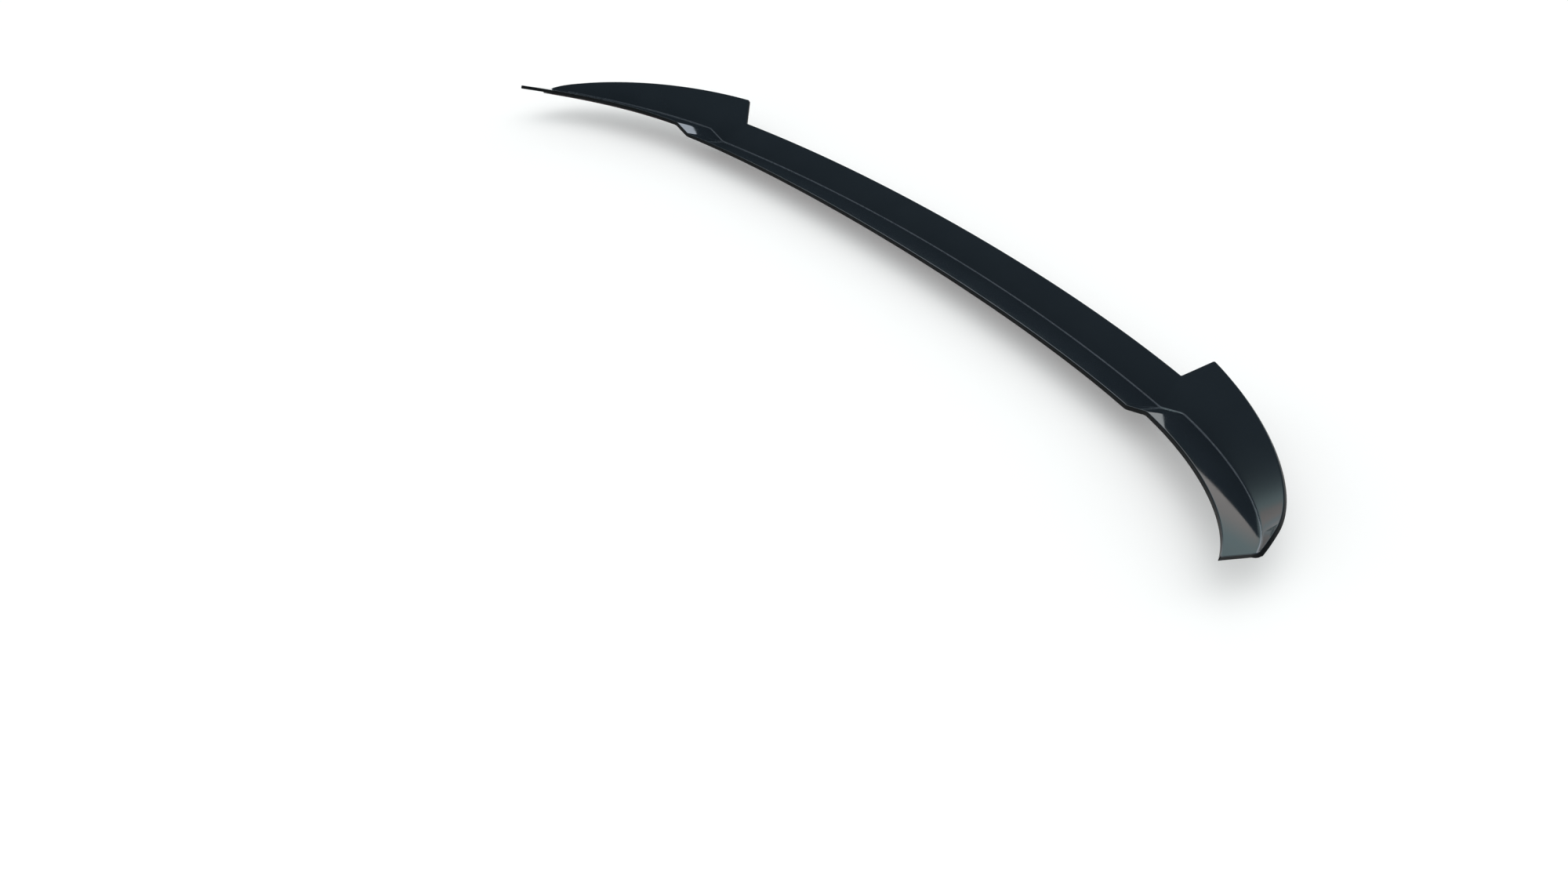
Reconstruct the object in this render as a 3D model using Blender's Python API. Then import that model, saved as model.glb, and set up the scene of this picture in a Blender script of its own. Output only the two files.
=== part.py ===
"""Stick-on rear spoiler cap for a passenger car.

One sheet of black ABS is thermoformed into a flange, which is glued onto the rear edge of the
car's body panel, and a lip, which stands up behind it.  Towards each side a short ramp lifts the
sheet to an ear with a taller lip, and the ear sweeps forward to a pointed tip.  Five lengths of
double-sided foam tape lie under the flange, each still covered by its red release liner.

Units are metres.  +Z is up, -Y is the car's front and +X its left.  The origin is the middle of
the glue face, under the centre of the flange.
"""

import math

import bmesh
import bpy
from mathutils import Vector

# ---- Sheet ----
SHEET = 0.004
BEND_RADIUS = 0.0034        # of the middle surface, along the crease
BEND_SHARE = 0.8            # most of a low lip that the bend may take
HALF_WIDTH = 0.600

# Each long line of the sheet's middle surface, measured from the middle of the crease.  "end" and
# "handle" make the centre's symmetric Bezier curve; "ear" is the curve from the ramp to the tip.
# The lip's edge ends its curve at a shoulder, and runs straight down from there to its "tip".
LINES = {
    "front": {
        "handle": (0.1790, -0.0430, 0.0190),
        "end": (0.3805, -0.0815, 0.0192),
        "ear": [
            (0.4050, -0.0820, 0.0255),
            (0.4850, -0.1030, 0.0285),
            (0.5580, -0.1370, 0.0250),
            (HALF_WIDTH, -0.1935, 0.0342),
        ],
    },
    "crease": {
        "handle": (0.1360, 0.0112, 0.0),
        "end": (0.3765, -0.0344, 0.0),
        "ear": [
            (0.4040, -0.0350, 0.0076),
            (0.5000, -0.0575, 0.0070),
            (0.5770, -0.1080, 0.0120),
            (HALF_WIDTH, -0.1510, 0.0212),
        ],
    },
    "trail": {
        "handle": (0.1505, 0.0385, 0.0198),
        "end": (0.3693, -0.0045, 0.0204),
        "ear": [
            (0.3898, 0.0122, 0.0400),
            (0.4964, -0.0235, 0.0400),
            (0.5828, -0.0800, 0.0285),
            (0.5968, -0.1390, 0.0260),
        ],
        "tip": (0.6022, -0.1502, 0.0237),
    },
}
SHOULDER = 0.9              # share of the ear at which the lip's edge starts down to its tip

# ---- Tape ----
FOAM = 0.0011
LINER = 0.0003
CONTACT_GAP = 0.0003        # between faces that touch on the real part
TAPE_MARGIN = {"inner": 0.012, "outer": 0.014}      # to the crease and to the front edge
TAPE_END_MARGIN = 0.009     # to the trimmed end of the flange
FOAM_TOP = SHEET / 2 + CONTACT_GAP
LINER_TOP = FOAM_TOP + FOAM + CONTACT_GAP
GLUE_FACE = LINER_TOP + LINER

# ---- Mesh density ----
CENTRE_STEPS = 25           # odd, so that one flat facet straddles the middle
RAMP_STEPS = 3
EAR_STEPS = 20
FLANGE_STEPS = 2
BEND_STEPS = 5
LIP_STEPS = 3
NUDGE = 1e-4                # step of the numeric derivative along the part


# ---- The sheet's middle surface ----
# A place along the part is a number q: 0 to 1 is half of the centre, 1 to 2 a ramp and 2 to 3 an
# ear, on the +X side; negative q is the mirror image.

def mirrored(point):
    """The same point on the other side of the car's middle plane."""
    return Vector((-point[0], point[1], point[2]))


def bezier(points, t):
    """A point on the Bezier curve of these control points, by repeated interpolation."""
    points = [Vector(point) for point in points]
    while len(points) > 1:
        points = [a.lerp(b, t) for a, b in zip(points, points[1:])]
    return points[0]


def line_point(name, q):
    """A point on the front edge, the crease or the trailing edge."""
    if q < 0:
        return mirrored(line_point(name, -q))
    line = LINES[name]
    if q <= 1:
        centre = [mirrored(line["end"]), mirrored(line["handle"]), line["handle"], line["end"]]
        return bezier(centre, 0.5 + 0.5 * q)
    if q <= 2:
        return Vector(line["end"]).lerp(Vector(line["ear"][0]), q - 1)
    ear = q - 2
    if "tip" in line:
        if ear > SHOULDER:
            return Vector(line["ear"][-1]).lerp(Vector(line["tip"]), (ear - SHOULDER) / (1 - SHOULDER))
        ear /= SHOULDER
    return bezier(line["ear"], ear)


def spaced(start, stop, steps):
    """Evenly spaced numbers, both ends included."""
    return [start + (stop - start) * i / steps for i in range(steps + 1)]


def bend_arc(q, front, crease, trail):
    """The rounded bend: an arc square to the crease, sheared to meet the flange and lip lines."""
    along = (line_point("crease", q + NUDGE) - line_point("crease", q - NUDGE)).normalized()
    sides = []
    for target in (front, trail):
        direction = (target - crease).normalized()
        lean = direction.dot(along)
        square = direction - along * lean
        sides.append((square.normalized(), lean / square.length))
    (to_front, lean_front), (to_trail, lean_trail) = sides
    half = to_front.angle(to_trail) / 2
    lip_height = (trail - crease).cross(along).length
    reach = min(BEND_RADIUS / math.tan(half), BEND_SHARE * lip_height)
    centre = crease + (to_front + to_trail).normalized() * (reach / math.cos(half))
    start, stop = crease + to_front * reach - centre, crease + to_trail * reach - centre
    turn = start.angle(stop)
    points = []
    for t in spaced(0, 1, BEND_STEPS):
        radius = start * math.sin((1 - t) * turn) + stop * math.sin(t * turn)
        slide = reach * (lean_front + (lean_trail - lean_front) * t)
        points.append(centre + radius / math.sin(turn) + along * slide)
    return points


def profile(q):
    """The sheet's cross-section at q: flange, rounded bend and lip, from front to back."""
    front, crease, trail = (line_point(name, q) for name in ("front", "crease", "trail"))
    bend = bend_arc(q, front, crease, trail)
    points = [front.lerp(bend[0], t) for t in spaced(0, 1, FLANGE_STEPS)]
    points += bend[1:]
    points += [bend[-1].lerp(trail, t) for t in spaced(0, 1, LIP_STEPS)[1:]]
    return points


# ---- The tape's strip under the flange ----

def tape_edge(q, edge):
    """A point of the flange above the tape's inner (rear) or outer (front) edge."""
    front, crease = line_point("front", q), line_point("crease", q)
    if edge == "inner":
        return crease + (front - crease).normalized() * TAPE_MARGIN["inner"]
    return front + (crease - front).normalized() * TAPE_MARGIN["outer"]


def below_flange(q, edge, depth):
    """The point at a depth under tape_edge; at a fold it lies on the mitre of both sides."""
    here = tape_edge(q, edge)
    across = line_point("front", q) - line_point("crease", q)
    before = (here - tape_edge(q - NUDGE, edge)).cross(across).normalized()
    after = (tape_edge(q + NUDGE, edge) - here).cross(across).normalized()
    return here + (before + after) * (depth / (1 + before.dot(after)))


def tape_end(edge):
    """The q at which the tape is cut, parallel to the flange's trimmed end."""
    low, high = 2.0, 3.0
    while high - low > 1e-6:
        middle = (low + high) / 2
        if tape_edge(middle, edge).x < HALF_WIDTH - TAPE_END_MARGIN:
            low = middle
        else:
            high = middle
    return low


def strip_rings(q_start, q_stop, steps, top, bottom):
    """Four-point rings of one tape length; q_stop gives the last q of each edge."""
    corners = (("inner", top), ("outer", top), ("outer", bottom), ("inner", bottom))
    columns = []
    for edge, depth in corners:
        columns.append([below_flange(q, edge, depth) for q in spaced(q_start, q_stop[edge], steps)])
    return [list(ring) for ring in zip(*columns)]


def shortened(rings, end, neighbour):
    """Pull one end ring back by half a contact gap, towards the ring beside it."""
    for i, point in enumerate(rings[end]):
        rings[end][i] = point + (rings[neighbour][i] - point).normalized() * (CONTACT_GAP / 2)


def tape_lengths():
    """Each tape length's name, first and last q, number of steps and free or butted far end."""
    return [
        ("centre", -1, {"inner": 1, "outer": 1}, CENTRE_STEPS, True),
        ("ramp", 1, {"inner": 2, "outer": 2}, RAMP_STEPS, True),
        ("ear", 2, {"inner": tape_end("inner"), "outer": tape_end("outer")}, EAR_STEPS, False),
    ]


def glue_face_middle():
    """The middle of the flat facet in the centre of the glue face."""
    q = 1 / CENTRE_STEPS
    corners = [below_flange(side * q, edge, GLUE_FACE) for side in (-1, 1) for edge in TAPE_MARGIN]
    return sum(corners, Vector()) / len(corners)


# ---- Objects ----

def material(name, colour, roughness, coat=0.0):
    """A plain Principled material."""
    made = bpy.data.materials.new(name)
    made.use_nodes = True
    shader = made.node_tree.nodes["Principled BSDF"]
    shader.inputs["Base Color"].default_value = (*colour, 1.0)
    shader.inputs["Roughness"].default_value = roughness
    shader.inputs["Metallic"].default_value = 0.0
    shader.inputs["Coat Weight"].default_value = coat
    made.diffuse_color = (*colour, 1.0)
    return made


def add_object(name, bm, made_of, parent, location=Vector()):
    """Turn a bmesh, whose points are around location, into a named object under the parent."""
    mesh = bpy.data.meshes.new(name)
    bm.to_mesh(mesh)
    bm.free()
    mesh.shade_smooth()
    mesh.set_sharp_from_angle(angle=math.radians(30))
    thing = bpy.data.objects.new(name, mesh)
    thing.data.materials.append(made_of)
    thing.parent = parent
    thing.location = location
    bpy.context.scene.collection.objects.link(thing)
    return thing


def build_shell(parent, made_of):
    """The sheet: a grid of cross-sections, moved half a thickness to both sides, with closed edges."""
    ear = spaced(2, 3, EAR_STEPS)[1:]
    ramp = spaced(1, 2, RAMP_STEPS)[1:]
    side = ramp + ear
    stations = [-q for q in reversed(side)] + spaced(-1, 1, CENTRE_STEPS) + side
    rows = [profile(q) for q in stations]
    last_row, last_column = len(rows) - 1, len(rows[0]) - 1
    bm = bmesh.new()
    top, under = [], []
    for i, row in enumerate(rows):
        top.append([])
        under.append([])
        for j, point in enumerate(row):
            along = rows[min(i + 1, last_row)][j] - rows[max(i - 1, 0)][j]
            across = row[min(j + 1, last_column)] - row[max(j - 1, 0)]
            half = along.cross(across).normalized() * (SHEET / 2)
            top[i].append(bm.verts.new(point + half))
            under[i].append(bm.verts.new(point - half))
    for skin in (top, under):
        for row, following in zip(skin, skin[1:]):
            for j in range(last_column):
                bm.faces.new((row[j], following[j], following[j + 1], row[j + 1]))
    for i in range(last_row):
        for j in (0, last_column):
            bm.faces.new((top[i][j], top[i + 1][j], under[i + 1][j], under[i][j]))
    for j in range(last_column):
        for i in (0, last_row):
            bm.faces.new((top[i][j], top[i][j + 1], under[i][j + 1], under[i][j]))
    bmesh.ops.recalc_face_normals(bm, faces=bm.faces)
    add_object("spoiler_shell", bm, made_of, parent)


def build_strip(name, rings, made_of, parent):
    """One closed length of tape or liner through its rings, with its origin in its middle."""
    points = [point for ring in rings for point in ring]
    location = sum(points, Vector()) / len(points)
    bm = bmesh.new()
    verts = [[bm.verts.new(point - location) for point in ring] for ring in rings]
    for ring, following in zip(verts, verts[1:]):
        for i in range(4):
            j = (i + 1) % 4
            bm.faces.new((ring[i], ring[j], following[j], following[i]))
    bm.faces.new(reversed(verts[0]))
    bm.faces.new(verts[-1])
    bmesh.ops.recalc_face_normals(bm, faces=bm.faces)
    add_object(name, bm, made_of, parent, location)


def build_layer(prefix, top, bottom, made_of, parent):
    """Foam or liner: the centre length, and a ramp and an ear length on each side."""
    for part, q_start, q_stop, steps, butted in tape_lengths():
        rings = strip_rings(q_start, q_stop, steps, top, bottom)
        shortened(rings, 0, 1)
        if butted:
            shortened(rings, -1, -2)
        if part == "centre":
            build_strip(f"{prefix}_centre", rings, made_of, parent)
            continue
        build_strip(f"{prefix}_{part}_left", rings, made_of, parent)
        other = [[mirrored(point) for point in ring] for ring in rings]
        build_strip(f"{prefix}_{part}_right", other, made_of, parent)


def main():
    """Clear the scene and build the spoiler cap."""
    for old in list(bpy.data.objects):
        bpy.data.objects.remove(old, do_unlink=True)

    spoiler = bpy.data.objects.new("spoiler", None)
    spoiler.location = -glue_face_middle()
    bpy.context.scene.collection.objects.link(spoiler)

    gloss_abs = material("gloss_black_abs", (0.011, 0.014, 0.019), 0.12, coat=0.6)
    foam = material("black_acrylic_foam", (0.020, 0.020, 0.022), 0.85)
    film = material("red_liner_film", (0.78, 0.055, 0.085), 0.38)

    build_shell(spoiler, gloss_abs)
    build_layer("foam_tape", FOAM_TOP, FOAM_TOP + FOAM, foam, spoiler)
    build_layer("release_liner", LINER_TOP, LINER_TOP + LINER, film, spoiler)


main()
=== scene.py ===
"""Looks of the stick-on rear spoiler cap: the final meshes, materials, studio and camera.

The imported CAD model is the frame.  Every piece here follows three long lines like those of the
CAD sheet, but with rounded folds, a rolled trim edge, a rounder lip end and fine meshes.
Units are metres.  +Z is up, -Y is the car's front and +X its left.
"""

import math

import bmesh
import bpy
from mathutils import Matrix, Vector


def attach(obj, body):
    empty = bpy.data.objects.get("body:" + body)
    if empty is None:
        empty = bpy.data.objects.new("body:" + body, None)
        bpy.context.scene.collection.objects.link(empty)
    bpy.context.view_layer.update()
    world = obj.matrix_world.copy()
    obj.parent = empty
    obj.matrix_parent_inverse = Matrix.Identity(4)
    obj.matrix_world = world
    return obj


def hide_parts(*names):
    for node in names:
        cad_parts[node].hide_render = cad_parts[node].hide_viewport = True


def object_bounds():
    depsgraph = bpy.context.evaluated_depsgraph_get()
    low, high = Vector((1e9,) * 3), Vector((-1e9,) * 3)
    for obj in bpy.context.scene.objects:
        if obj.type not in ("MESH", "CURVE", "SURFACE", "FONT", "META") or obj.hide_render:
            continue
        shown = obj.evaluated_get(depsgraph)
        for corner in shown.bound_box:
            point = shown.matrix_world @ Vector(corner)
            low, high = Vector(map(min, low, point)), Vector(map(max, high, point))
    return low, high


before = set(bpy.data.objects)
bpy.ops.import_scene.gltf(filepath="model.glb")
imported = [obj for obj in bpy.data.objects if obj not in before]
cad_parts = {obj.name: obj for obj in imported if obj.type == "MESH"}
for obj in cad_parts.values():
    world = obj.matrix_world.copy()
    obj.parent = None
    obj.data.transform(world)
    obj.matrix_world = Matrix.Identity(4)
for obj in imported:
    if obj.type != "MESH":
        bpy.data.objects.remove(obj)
CAD_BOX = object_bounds()

# ---- The sheet ----
SHEET = 0.004
HALF_WIDTH = 0.600
ORIGIN_FROM_CREASE = Vector((0.0, -0.026890, 0.005424))     # the middle of the tape's face
BEND_RADIUS = 0.0047        # of the middle surface, along the crease
BEND_SHARE = 0.8            # the most of a low lip that the bend may take
FOLD_TANGENT = {"front": 0.0025, "crease": 0.0040, "trail": 0.0018}     # at both ends of a ramp
RIM_RADIUS = 0.0007
EDGE_ROLL = 0.0013          # how far the rim's shading softens into the faces
ROLL_SHARE = 0.3            # the most of a low lip that this may take
MITRE_FLOOR = 0.35          # keeps the rim's sharpest corner from stretching too far
NUDGE = 1e-4                # step of the numeric derivatives along the part

LINES = {                   # control points, measured from the middle of the crease
    "front": {
        "handle": (0.1790, -0.0430, 0.0190),
        "end": (0.3805, -0.0815, 0.0192),
        "ear": [
            (0.4050, -0.0820, 0.0255),
            (0.4850, -0.1030, 0.0285),
            (0.5580, -0.1370, 0.0250),
            (HALF_WIDTH, -0.1935, 0.0342),
        ],
    },
    "crease": {
        "handle": (0.1360, 0.0112, 0.0),
        "end": (0.3765, -0.0344, 0.0),
        "ear": [
            (0.4040, -0.0350, 0.0076),
            (0.5000, -0.0575, 0.0070),
            (0.5770, -0.1080, 0.0120),
            (HALF_WIDTH, -0.1510, 0.0212),
        ],
    },
    "trail": {
        "handle": (0.1505, 0.0385, 0.0198),
        "end": (0.3693, -0.0045, 0.0204),
        "ear": [
            (0.3898, 0.0122, 0.0400),
            (0.4846, -0.0195, 0.0400),
            (0.5626, -0.0680, 0.0303),
            (0.5888, -0.1177, 0.0270),
        ],
        "tip": [(0.5990, -0.1382, 0.0265), (0.6022, -0.1502, 0.0232)],
    },
}
SHOULDER = 0.80             # share of the ear at which the lip's edge starts down to its tip
EAR_START, EAR_END = 4.0, 5.0       # as s, which is explained below

# ---- Tape ----
FOAM = 0.0011
LINER = 0.00022
LAYER_GAP = 0.00025
LAYER_ROUNDING = 0.3        # rim radius of a tape layer, as a share of its thickness
TAPE_MARGIN = {"inner": 0.012, "outer": 0.014}      # to the crease and to the front edge
TAPE_END_MARGIN = 0.009
BUTT_GAP = 0.0002
END_TOLERANCE = 1e-6        # how closely the tape's cut is found, in s

# ---- Mesh density ----
CENTRE_STEPS = 121
FOLD_STEPS = 8
RAMP_STEPS = 8
EAR_STEPS = 90
FLANGE_STEPS = 12
BEND_STEPS = 12
BEND_HIGHLIGHT = 8          # the middle steps of the bend, painted paler as a highlight line
LIP_STEPS = 12
TAPE_STEPS = 10


# ---- Where the surfaces run ----
# q: 0 to 1 half of the centre, 1 to 2 a ramp, 2 to 3 an ear.  s is q with the two rounded folds
# put in: 0 to 1 centre, 1 to 2 fold, 2 to 3 ramp, 3 to 4 fold, 4 to 5 ear; negative is mirrored.

def mirrored(point):
    """The same point on the other side of the car's middle plane."""
    return Vector((-point[0], point[1], point[2]))


def bezier(points, t):
    """A point on the Bezier curve of these control points."""
    points = [Vector(point) for point in points]
    while len(points) > 1:
        points = [a.lerp(b, t) for a, b in zip(points, points[1:])]
    return points[0]


def lip_edge(ear):
    """The lip's edge along an ear: one curve to the shoulder, a tighter one down to the tip."""
    line = LINES["trail"]
    if ear <= SHOULDER:
        return bezier(line["ear"], ear / SHOULDER)
    return bezier(line["ear"][-1:] + line["tip"], (ear - SHOULDER) / (1 - SHOULDER))


def sharp_point(name, q):
    """A point on one long line with sharp folds."""
    line = LINES[name]
    if q <= 1:
        centre = [mirrored(line["end"]), mirrored(line["handle"]), line["handle"], line["end"]]
        return bezier(centre, 0.5 + 0.5 * q)
    if q <= 2:
        return Vector(line["end"]).lerp(Vector(line["ear"][0]), q - 1)
    return lip_edge(q - 2) if "tip" in line else bezier(line["ear"], q - 2)


def fold_reach(name, fold, side):
    """The q at which a fold's rounding starts or ends, on one side of it."""
    speed = (sharp_point(name, fold + side * NUDGE) - sharp_point(name, fold)).length / NUDGE
    return fold + side * FOLD_TANGENT[name] / speed


def line_point(name, s):
    """A point on one long line, folds rounded."""
    if s < 0:
        return mirrored(line_point(name, -s))
    if s <= 1:
        return sharp_point(name, s * fold_reach(name, 1, -1))
    if s <= 2 or 3 < s <= EAR_START:
        fold = 1 if s <= 2 else 2
        near = sharp_point(name, fold_reach(name, fold, -1))
        far = sharp_point(name, fold_reach(name, fold, 1))
        return bezier([near, sharp_point(name, fold), far], s - int(math.ceil(s)) + 1)
    if s <= 3:
        start, stop = fold_reach(name, 1, 1), fold_reach(name, 2, -1)
        return sharp_point(name, start + (stop - start) * (s - 2))
    start = fold_reach(name, 2, 1)
    return sharp_point(name, start + (3 - start) * (s - EAR_START))


def spaced(start, stop, steps):
    """Evenly spaced numbers, both ends included."""
    return [start + (stop - start) * i / steps for i in range(steps + 1)]


def side_stations():
    """The s values of one side beyond the centre."""
    values = spaced(1, 2, FOLD_STEPS)[1:] + spaced(2, 3, RAMP_STEPS)[1:]
    values += spaced(3, EAR_START, FOLD_STEPS)[1:] + spaced(EAR_START, EAR_END, EAR_STEPS)[1:]
    return values


def bend_arc(s, front, crease, trail):
    """The rounded bend: an arc square to the crease, sheared to meet the flange and the lip."""
    along = (line_point("crease", s + NUDGE) - line_point("crease", s - NUDGE)).normalized()
    sides = []
    for target in (front, trail):
        direction = (target - crease).normalized()
        lean = direction.dot(along)
        square = direction - along * lean
        sides.append((square.normalized(), lean / square.length))
    (to_front, lean_front), (to_trail, lean_trail) = sides
    half = to_front.angle(to_trail) / 2
    lip_height = (trail - crease).cross(along).length
    reach = min(BEND_RADIUS / math.tan(half), BEND_SHARE * lip_height)
    centre = crease + (to_front + to_trail).normalized() * (reach / math.cos(half))
    start, stop = crease + to_front * reach - centre, crease + to_trail * reach - centre
    turn = start.angle(stop)
    points = []
    for t in spaced(0, 1, BEND_STEPS):
        radius = start * math.sin((1 - t) * turn) + stop * math.sin(t * turn)
        slide = reach * (lean_front + (lean_trail - lean_front) * t)
        points.append(centre + radius / math.sin(turn) + along * slide)
    return points


def profile(s):
    """The sheet's cross-section at s: flange, rounded bend and lip, from front to back."""
    front, crease, trail = (line_point(name, s) for name in ("front", "crease", "trail"))
    bend = bend_arc(s, front, crease, trail)
    flange_roll = EDGE_ROLL / (bend[0] - front).length
    lip_roll = min(EDGE_ROLL / (trail - bend[-1]).length, ROLL_SHARE)
    points = [front] + [front.lerp(bend[0], t) for t in spaced(flange_roll, 1, FLANGE_STEPS)]
    points += bend[1:]
    points += [bend[-1].lerp(trail, t) for t in spaced(0, 1 - lip_roll, LIP_STEPS)[1:]] + [trail]
    return points


# ---- Mesh helpers ----

def grid_normals(rows):
    """Unit normals of a grid of points, pointing up out of the sheet."""
    last_row, last_column = len(rows) - 1, len(rows[0]) - 1
    normals = []
    for i, row in enumerate(rows):
        line = []
        for j in range(len(row)):
            along = rows[min(i + 1, last_row)][j] - rows[max(i - 1, 0)][j]
            across = row[min(j + 1, last_column)] - row[max(j - 1, 0)]
            line.append(along.cross(across).normalized())
        normals.append(line)
    return normals


def boundary(rows):
    """The (i, j) places of the grid's rim, as one loop."""
    last_row, last_column = len(rows) - 1, len(rows[0]) - 1
    loop = [(i, 0) for i in range(last_row)]
    loop += [(last_row, j) for j in range(last_column)]
    loop += [(i, last_column) for i in range(last_row, 0, -1)]
    loop += [(0, j) for j in range(last_column, 0, -1)]
    return loop


def outward(rows, normals, loop, k):
    """The direction out of the rim at one place, stretched at a corner to keep its mitre."""
    i, j = loop[k]
    before, after = loop[k - 1], loop[(k + 1) % len(loop)]
    into = (rows[i][j] - rows[before[0]][before[1]]).normalized()
    out_of = (rows[after[0]][after[1]] - rows[i][j]).normalized()
    normal = normals[i][j]
    first, second = into.cross(normal).normalized(), out_of.cross(normal).normalized()
    return (first + second) / max(1 + first.dot(second), MITRE_FLOOR)


def solid_sheet(rows, thickness, radius, rim_steps=4, band=()):
    """A closed sheet around a grid of its middle surface, with a rolled rim.

    Slots: 0 top and its roll, 1 under, 2 rim, and 3 the (i, j) cells of the top in the band, which
    carry the painted highlight.
    """
    bm = bmesh.new()
    normals = grid_normals(rows)
    loop = boundary(rows)
    outs = {place: outward(rows, normals, loop, k) for k, place in enumerate(loop)}
    half = thickness / 2
    skins = []
    for side in (1, -1):
        skin = []
        for i, row in enumerate(rows):
            line = []
            for j, point in enumerate(row):
                inset = outs.get((i, j), Vector()) * radius
                line.append(bm.verts.new(point - inset + normals[i][j] * (half * side)))
            skin.append(line)
        skins.append(skin)
    for slot, skin in enumerate(skins):
        for i in range(len(rows) - 1):
            for j in range(len(rows[0]) - 1):
                quad = [skin[i][j], skin[i + 1][j], skin[i + 1][j + 1], skin[i][j + 1]]
                face = bm.faces.new(quad if slot == 0 else quad[::-1])
                face.material_index = 3 if slot == 0 and (i, j) in band else slot
    rings = [[skins[0][i][j] for i, j in loop]]
    levels = [(1, math.radians(a)) for a in spaced(90, 0, rim_steps)[1:]]
    levels += [(-1, math.radians(a)) for a in spaced(0, 90, rim_steps)[:-1]]
    for side, angle in levels:
        ring = []
        for i, j in loop:
            rise = side * (half - radius + radius * math.sin(angle))
            sink = radius * (1 - math.cos(angle))
            place = rows[i][j] - outs[(i, j)] * sink + normals[i][j] * rise
            ring.append(bm.verts.new(place))
        rings.append(ring)
    rings.append([skins[1][i][j] for i, j in loop])
    for level, (upper, lower) in enumerate(zip(rings, rings[1:])):
        for k in range(len(loop)):
            m = (k + 1) % len(loop)
            face = bm.faces.new((upper[k], lower[k], lower[m], upper[m]))
            face.material_index = 0 if level < rim_steps - 1 else 2
    bmesh.ops.recalc_face_normals(bm, faces=bm.faces)
    return bm


def add_piece(name, bm, materials, body, node):
    """A smooth piece that rides on a body and stands for a CAD node."""
    for vert in bm.verts:
        vert.co -= ORIGIN_FROM_CREASE
    mesh = bpy.data.meshes.new(name)
    bm.to_mesh(mesh)
    bm.free()
    for material in materials:
        mesh.materials.append(material)
    mesh.shade_smooth()
    piece = bpy.data.objects.new(name, mesh)
    bpy.context.scene.collection.objects.link(piece)
    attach(piece, body)
    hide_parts(node)
    return piece


# ---- The sheet ----

def build_shell(materials):
    """The thermoformed sheet; the duller band of painted highlight along its bend narrows towards
    the tips.
    """
    side = side_stations()
    stations = [-s for s in reversed(side)] + spaced(-1, 1, CENTRE_STEPS) + side
    middle = 1 + FLANGE_STEPS + BEND_STEPS // 2
    band = set()
    for i, s in enumerate(stations):
        half = round(BEND_HIGHLIGHT / 2 * min(1.0, EAR_END - abs(s)))
        band.update((i, j) for j in range(middle - half, middle + half))
    bm = solid_sheet([profile(s) for s in stations], SHEET, RIM_RADIUS, band=band)
    add_piece("spoiler_sheet", bm, materials, "shell", "spoiler_shell")


# ---- The tape ----

def tape_edge(s, edge):
    """A point of the flange above the tape's rear ("inner") or front ("outer") edge."""
    front, crease = line_point("front", s), line_point("crease", s)
    near, far = (crease, front) if edge == "inner" else (front, crease)
    return near + (far - near).normalized() * TAPE_MARGIN[edge]


def tape_end(edge):
    """The s at which the tape is cut, parallel to the flange's trimmed end."""
    low, high = EAR_START, EAR_END
    while high - low > END_TOLERANCE:
        middle = (low + high) / 2
        if tape_edge(middle, edge).x < HALF_WIDTH - TAPE_END_MARGIN:
            low = middle
        else:
            high = middle
    return low


def strip_rows(stations, depth):
    """Grid of a tape layer's middle surface; stations are (s at rear edge, s at front edge)."""
    rows = []
    for s_inner, s_outer in stations:
        inner, outer = tape_edge(s_inner, "inner"), tape_edge(s_outer, "outer")
        rows.append([outer.lerp(inner, t) for t in spaced(0, 1, TAPE_STEPS)])
    normals = grid_normals(rows)
    return [[point - normals[i][j] * depth for j, point in enumerate(row)]
            for i, row in enumerate(rows)]


def shortened(rows, gap):
    """Pull both end rows of a grid back by half a butt gap."""
    for end, neighbour in ((0, 1), (-1, -2)):
        for j, point in enumerate(rows[end]):
            rows[end][j] = point + (rows[neighbour][j] - point).normalized() * (gap / 2)
    return rows


def tape_stations():
    """Stations of the centre tape and of the left ramp and ear tape, cut in mid-fold."""
    half_fold = FOLD_STEPS // 2
    fold_in = spaced(1, 1.5, half_fold)[1:]
    centre = [-s for s in reversed(fold_in)] + spaced(-1, 1, CENTRE_STEPS) + fold_in
    ramp = spaced(1.5, 2, half_fold) + spaced(2, 3, RAMP_STEPS)[1:]
    ramp += spaced(3, 3.5, half_fold)[1:]
    fold_out = [(s, s) for s in spaced(3.5, EAR_START, half_fold)]
    inner = spaced(EAR_START, tape_end("inner"), EAR_STEPS)
    outer = spaced(EAR_START, tape_end("outer"), EAR_STEPS)
    ear = fold_out + list(zip(inner, outer))[1:]
    return {"centre": [(s, s) for s in centre], "ramp": [(s, s) for s in ramp], "ear": ear}


def build_tape(foam_materials, film_materials):
    """Five lengths of foam that ride on the sheet, and five liners on their own bodies."""
    foam_depth = SHEET / 2 + LAYER_GAP + FOAM / 2
    film_depth = foam_depth + FOAM / 2 + LAYER_GAP + LINER / 2
    layers = (
        ("foam_tape", "foam", foam_depth, FOAM, foam_materials, "black_acrylic_foam"),
        ("release_liner", "liner_film", film_depth, LINER, film_materials, "red_liner_film"),
    )
    for part, stations in tape_stations().items():
        sides = ("",) if part == "centre" else ("_left", "_right")
        for node_stem, piece_stem, depth, thickness, materials, slot in layers:
            rows = shortened(strip_rows(stations, depth), BUTT_GAP)
            for side in sides:
                grid = rows
                if side == "_right":
                    grid = [[mirrored(point) for point in row] for row in reversed(rows)]
                bm = solid_sheet(grid, thickness, thickness * LAYER_ROUNDING, rim_steps=2)
                name = f"{piece_stem}_{part}{side}"
                body = "shell" if node_stem == "foam_tape" else f"liner_{part}{side}"
                piece = add_piece(name, bm, materials, body, f"{node_stem}_{part}{side}")
                # Light from the red film would tint the pale floor.
                piece.visible_diffuse = node_stem == "foam_tape"


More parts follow.
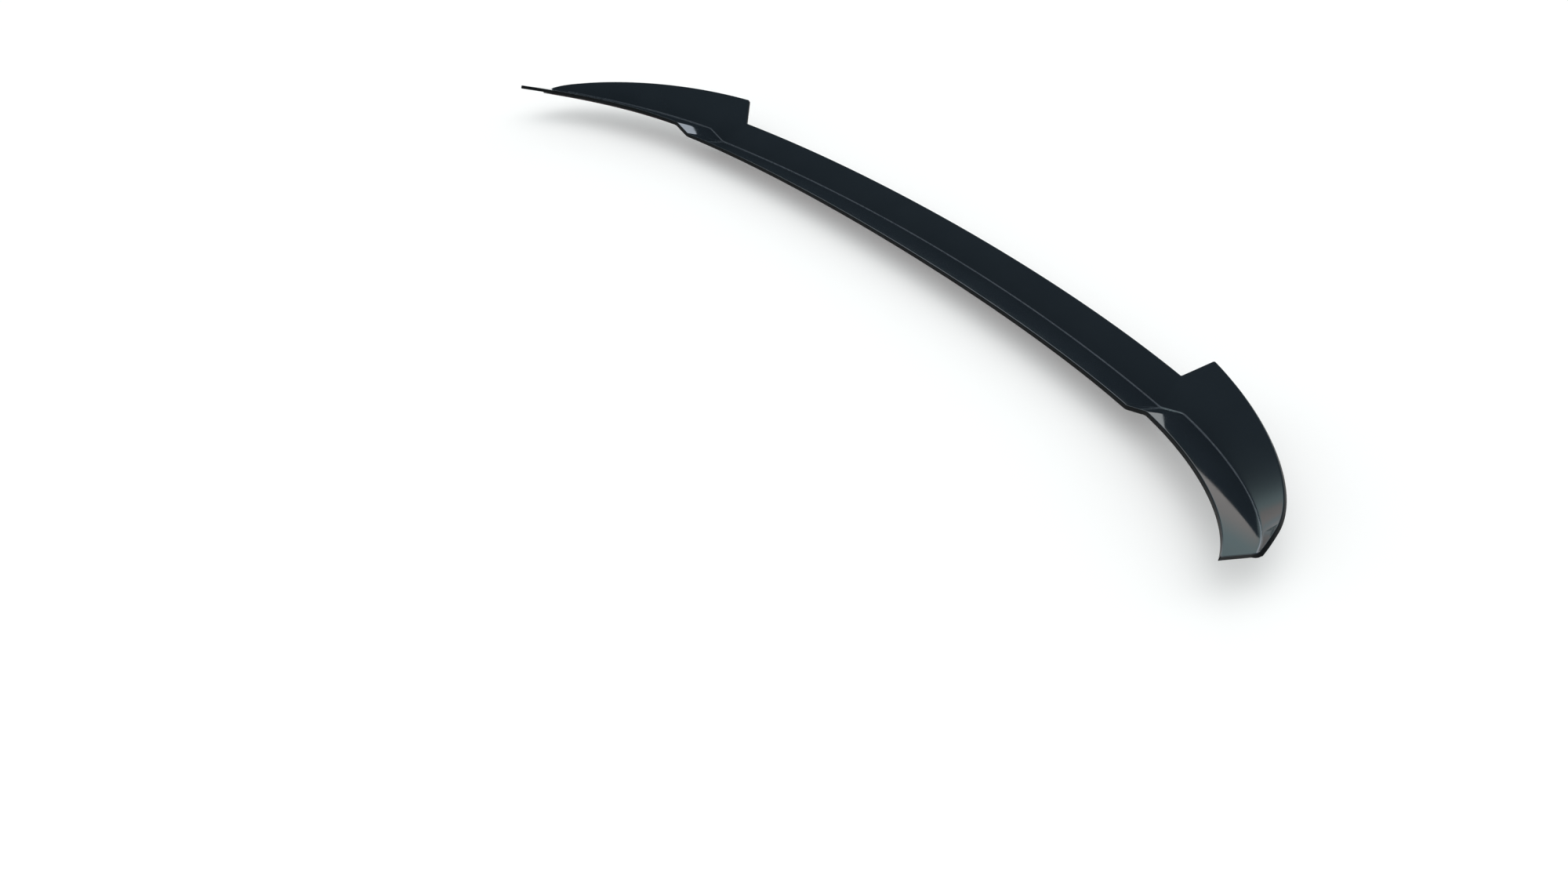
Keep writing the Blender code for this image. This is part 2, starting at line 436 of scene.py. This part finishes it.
# ---- Materials ----
NOISE_LOW, NOISE_HIGH = 0.3, 0.7        # where nearly all of a noise's values lie


def new_material(name, colour, roughness):
    """A node material, its tree and its Principled shader."""
    material = bpy.data.materials.new(name)
    material.use_nodes = True
    shader = material.node_tree.nodes["Principled BSDF"]
    shader.inputs["Base Color"].default_value = (*colour, 1.0)
    shader.inputs["Roughness"].default_value = roughness
    return material, material.node_tree, shader


def add_node(tree, kind, **values):
    """A node with some of its properties and inputs set."""
    node = tree.nodes.new(kind)
    for key, value in values.items():
        if key in node.inputs:
            node.inputs[key].default_value = value
        else:
            setattr(node, key, value)
    return node


def noise(tree, scale, detail, stretch=(1.0, 1.0, 1.0)):
    """Noise over the object's own coordinates."""
    coordinates = add_node(tree, "ShaderNodeTexCoord")
    mapping = add_node(tree, "ShaderNodeMapping", Scale=stretch)
    texture = add_node(tree, "ShaderNodeTexNoise", Scale=scale, Detail=detail)
    tree.links.new(coordinates.outputs["Object"], mapping.inputs["Vector"])
    tree.links.new(mapping.outputs["Vector"], texture.inputs["Vector"])
    return texture.outputs["Fac"]


def map_range(tree, source, limits, curve="SMOOTHSTEP"):
    """Map a value from one range to another; a limit is a number or another node's output."""
    node = add_node(tree, "ShaderNodeMapRange", interpolation_type=curve)
    tree.links.new(source, node.inputs["Value"])
    for name, limit in zip(("From Min", "From Max", "To Min", "To Max"), limits):
        if isinstance(limit, (int, float)):
            node.inputs[name].default_value = limit
        else:
            tree.links.new(limit, node.inputs[name])
    return node.outputs["Result"]


def vary(tree, shader, socket, source, low, high):
    """Drive one number of the shader from a noise, between two values."""
    spread = map_range(tree, source, (NOISE_LOW, NOISE_HIGH, low, high), "LINEAR")
    tree.links.new(spread, shader.inputs[socket])


def tint(tree, shader, source, low, high):
    """Mix the base colour between two near shades with a noise."""
    ramp = add_node(tree, "ShaderNodeValToRGB")
    ends = ((NOISE_LOW, low), (NOISE_HIGH, high))
    for element, (position, colour) in zip(ramp.color_ramp.elements, ends):
        element.position = position
        element.color = (*colour, 1.0)
    tree.links.new(source, ramp.inputs["Fac"])
    tree.links.new(ramp.outputs["Color"], shader.inputs["Base Color"])


def bump(tree, shader, source, depth, strength=1.0, over=None):
    """Tilt the shader's normal with a height of this depth in metres, over another bump if any."""
    node = add_node(tree, "ShaderNodeBump", Strength=strength, Distance=depth)
    tree.links.new(source, node.inputs["Height"])
    if over is not None:
        tree.links.new(over, node.inputs["Normal"])
    tree.links.new(node.outputs["Normal"], shader.inputs["Normal"])
    return node.outputs["Normal"]


def gloss_material():
    """The show side: deep black ABS with the faint waves and haze of a thermoformed sheet."""
    material, tree, shader = new_material("gloss_abs", (0.0112, 0.0156, 0.0202), 0.07)
    haze = noise(tree, 14.0, 4.0)
    tint(tree, shader, haze, (0.0102, 0.0143, 0.0187), (0.0122, 0.0169, 0.0217))
    vary(tree, shader, "Roughness", noise(tree, 55.0, 5.0), 0.05, 0.09)
    waves = bump(tree, shader, noise(tree, 9.0, 1.0), 0.00012)
    bump(tree, shader, noise(tree, 420.0, 2.0), 0.000012, 0.25, over=waves)
    return material


def crease_highlight_paint_material():
    """The middle of the bend: the same sheet, duller, with a paler colour painted on as a
    highlight line along the crease.
    """
    material, tree, shader = new_material("painted_crease_highlight", (0.056, 0.066, 0.078), 0.28)
    tint(tree, shader, noise(tree, 30.0, 3.0), (0.048, 0.057, 0.068), (0.064, 0.075, 0.088))
    vary(tree, shader, "Roughness", noise(tree, 120.0, 3.0), 0.22, 0.34)
    bump(tree, shader, noise(tree, 500.0, 2.0), 0.00002, 0.3)
    return material


def under_material():
    """The back of the sheet: a satin grain with the odd paler rub."""
    material, tree, shader = new_material("satin_underside", (0.016, 0.018, 0.021), 0.42)
    tint(tree, shader, noise(tree, 22.0, 5.0), (0.013, 0.015, 0.018), (0.020, 0.022, 0.026))
    vary(tree, shader, "Roughness", noise(tree, 60.0, 4.0), 0.34, 0.50)
    bump(tree, shader, noise(tree, 900.0, 2.0), 0.00006, 0.5)
    return material


def edge_material():
    """The trimmed edge: cut ABS with fine marks along the cut."""
    material, tree, shader = new_material("trim_edge", (0.005, 0.006, 0.007), 0.34)
    shader.inputs["Specular IOR Level"].default_value = 0.05
    tint(tree, shader, noise(tree, 120.0, 4.0), (0.004, 0.0045, 0.005), (0.008, 0.0085, 0.009))
    marks = noise(tree, 260.0, 3.0, (0.25, 0.25, 5.0))
    vary(tree, shader, "Roughness", marks, 0.26, 0.42)
    bump(tree, shader, marks, 0.00005, 0.35)
    return material


def foam_material():
    """Closed-cell acrylic foam."""
    material, tree, shader = new_material("acrylic_foam", (0.018, 0.018, 0.020), 0.85)
    coordinates = add_node(tree, "ShaderNodeTexCoord")
    cells = add_node(tree, "ShaderNodeTexVoronoi", Scale=2600.0)
    tree.links.new(coordinates.outputs["Object"], cells.inputs["Vector"])
    tint(tree, shader, cells.outputs["Distance"], (0.026, 0.026, 0.028), (0.011, 0.011, 0.012))
    bump(tree, shader, cells.outputs["Distance"], 0.00008, 0.8)
    return material


def film_material():
    """The red release film: smooth polyester with slight ripples."""
    material, tree, shader = new_material("liner_film", (0.78, 0.052, 0.085), 0.32)
    tint(tree, shader, noise(tree, 26.0, 3.0), (0.72, 0.045, 0.075), (0.82, 0.060, 0.095))
    vary(tree, shader, "Roughness", noise(tree, 90.0, 4.0), 0.26, 0.38)
    bump(tree, shader, noise(tree, 70.0, 2.0), 0.00010, 0.5)
    return material


def film_edge_painted_shade_material():
    """The film's cut edge, painted dark red-black as the shade line along the tape's edges."""
    material, tree, shader = new_material("liner_film_edge_painted_shade", (0.050, 0.010, 0.013), 0.5)
    tint(tree, shader, noise(tree, 150.0, 3.0), (0.030, 0.008, 0.010), (0.075, 0.012, 0.017))
    vary(tree, shader, "Roughness", noise(tree, 200.0, 3.0), 0.4, 0.6)
    return material


# ---- Studio ----
FLOOR_DROP = 0.004              # below the CAD model's lowest point
FLOOR_SIZE = 30.0
FLOOR_COLOUR = (0.875, 0.86, 0.845)
FLOOR_GLOW = 0.17               # lifts the shadows, as a white cyclorama does
ROOM = (0.066, 0.088, 0.104)
WALL_BEHIND = (-0.50, 0.866, 0.0)       # towards the part of the pale wall with a sharp top
START_RISES = (0.45, 0.80)      # cosines to WALL_BEHIND between which FADE_START rises
END_DROPS = (0.10, 0.45)        # cosines between which FADE_END drops
FADE_START = (0.12, 0.35)       # where the wall starts to fade upwards, elsewhere and behind
FADE_END = (0.62, 0.40)         # where it has faded out, elsewhere and behind
WALL_BANDS = (                  # height on the wall, plus half of BAND_RIPPLE, and the tint there
    (0.04, (1.02, 1.02, 1.02)),
    (0.12, (0.84, 1.00, 1.05)),
    (0.18, (1.12, 1.05, 1.01)),
    (0.25, (1.08, 1.03, 0.99)),
    (0.285, (0.74, 0.98, 1.00)),
)
BAND_RIPPLE = 0.10              # how far noise shifts the bands at most
WINDOW = (-0.655, 0.700, 0.285)         # towards the one bright, bluish window
WINDOW_EDGE = (0.9895, 0.9950)  # cosines to WINDOW between which it brightens
WINDOW_LIGHT = (1.80, 2.00, 2.25)
SUNS = (                        # name, energy, spread, azimuth and elevation in degrees
    ("key", 0.55, 80, 192, 40),
    ("dome", 2.2, 178, 0, 90),
)


def build_floor(height):
    """A large pale floor that can't be seen from below."""
    bm = bmesh.new()
    bmesh.ops.create_grid(bm, x_segments=1, y_segments=1, size=FLOOR_SIZE)
    mesh = bpy.data.meshes.new("floor")
    bm.to_mesh(mesh)
    bm.free()
    floor = bpy.data.objects.new("floor", mesh)
    floor.location.z = height
    material, tree, shader = new_material("pale_floor", FLOOR_COLOUR, 0.8)
    shader.inputs["Emission Color"].default_value = (1.0, 1.0, 1.0, 1.0)
    shader.inputs["Emission Strength"].default_value = FLOOR_GLOW
    clear = add_node(tree, "ShaderNodeBsdfTransparent")
    geometry = add_node(tree, "ShaderNodeNewGeometry")
    mix = add_node(tree, "ShaderNodeMixShader")
    tree.links.new(geometry.outputs["Backfacing"], mix.inputs["Fac"])
    tree.links.new(shader.outputs["BSDF"], mix.inputs[1])
    tree.links.new(clear.outputs["BSDF"], mix.inputs[2])
    tree.links.new(mix.outputs["Shader"], tree.nodes["Material Output"].inputs["Surface"])
    mesh.materials.append(material)
    bpy.context.scene.collection.objects.link(floor)


def facing(tree, direction, towards):
    """The cosine between the view direction and a fixed one."""
    node = add_node(tree, "ShaderNodeVectorMath", operation="DOT_PRODUCT")
    node.inputs[1].default_value = Vector(towards).normalized()
    tree.links.new(direction, node.inputs[0])
    return node.outputs["Value"]


def wall_tint(tree, direction, height):
    """The pale wall's colour: bands by height, shifted a little by noise."""
    ripples = add_node(tree, "ShaderNodeTexNoise", Scale=4.0, Detail=2.0)
    tree.links.new(direction, ripples.inputs["Vector"])
    shift = add_node(tree, "ShaderNodeMath", operation="MULTIPLY_ADD")
    shift.inputs[1].default_value = BAND_RIPPLE
    tree.links.new(ripples.outputs["Fac"], shift.inputs[0])
    tree.links.new(height, shift.inputs[2])
    tints = add_node(tree, "ShaderNodeValToRGB")
    elements = tints.color_ramp.elements
    while len(elements) < len(WALL_BANDS):
        elements.new(0.5)
    for element, (position, colour) in zip(elements, WALL_BANDS):
        element.position = position
        element.color = (*colour, 1.0)
    tree.links.new(shift.outputs["Value"], tints.inputs["Fac"])
    return tints.outputs["Color"]


def build_world():
    """A dim room with a pale, faintly banded wall low around the horizon and one window."""
    world = bpy.data.worlds.new("studio")
    world.use_nodes = True
    tree = world.node_tree
    direction = add_node(tree, "ShaderNodeTexCoord").outputs["Generated"]
    split = add_node(tree, "ShaderNodeSeparateXYZ")
    tree.links.new(direction, split.inputs["Vector"])
    height = split.outputs["Z"]

    behind = facing(tree, direction, WALL_BEHIND)
    fade_start = map_range(tree, behind, START_RISES + FADE_START)
    fade_end = map_range(tree, behind, END_DROPS + FADE_END)
    light = add_node(tree, "ShaderNodeMix", data_type="RGBA")
    light.inputs["A"].default_value = (*ROOM, 1.0)
    wall_share = map_range(tree, height, (fade_start, fade_end, 1.0, 0.0))
    tree.links.new(wall_share, light.inputs["Factor"])
    tree.links.new(wall_tint(tree, direction, height), light.inputs["B"])

    window = add_node(tree, "ShaderNodeMix", data_type="RGBA")
    window.inputs["B"].default_value = (*WINDOW_LIGHT, 1.0)
    window_share = map_range(tree, facing(tree, direction, WINDOW), WINDOW_EDGE + (0.0, 1.0))
    tree.links.new(window_share, window.inputs["Factor"])
    tree.links.new(light.outputs["Result"], window.inputs["A"])
    tree.links.new(window.outputs["Result"], tree.nodes["Background"].inputs["Color"])
    bpy.context.scene.world = world


def add_sun(name, energy, spread, azimuth, elevation):
    """A soft distant light that doesn't show in reflections."""
    sun = bpy.data.lights.new(name, "SUN")
    sun.energy = energy
    sun.angle = math.radians(spread)
    lamp = bpy.data.objects.new(name, sun)
    lamp.rotation_euler = (math.radians(90 - elevation), 0, math.radians(azimuth))
    lamp.visible_glossy = False
    bpy.context.scene.collection.objects.link(lamp)


# ---- Camera ----
CAMERA_FROM_CREASE = Vector((1.2642, -0.9924, 0.7403))
CAMERA_AZIMUTH = 57.50          # degrees
CAMERA_ELEVATION = 31.45
CAMERA_LENS = 38.19             # millimetres
CAMERA_SENSOR = 36.0


def add_camera():
    """The camera, above the car's left front corner and looking down over the part."""
    camera = bpy.data.cameras.new("camera")
    camera.sensor_width = CAMERA_SENSOR
    camera.lens = CAMERA_LENS
    holder = bpy.data.objects.new("camera", camera)
    holder.location = CAMERA_FROM_CREASE - ORIGIN_FROM_CREASE
    tilt, turn = math.radians(90 - CAMERA_ELEVATION), math.radians(CAMERA_AZIMUTH)
    holder.rotation_euler = (tilt, 0, turn)
    bpy.context.scene.collection.objects.link(holder)
    bpy.context.scene.camera = holder


# ---- The scene ----

# The fourth material paints a highlight line along the crease.
build_shell([gloss_material(), under_material(), edge_material(), crease_highlight_paint_material()])
foam, film = foam_material(), film_material()
build_tape([foam] * 3, [film, film, film_edge_painted_shade_material()])
build_world()
build_floor(CAD_BOX[0].z - FLOOR_DROP)
for sun_values in SUNS:
    add_sun(*sun_values)
add_camera()
bpy.context.scene.view_settings.view_transform = "Standard"
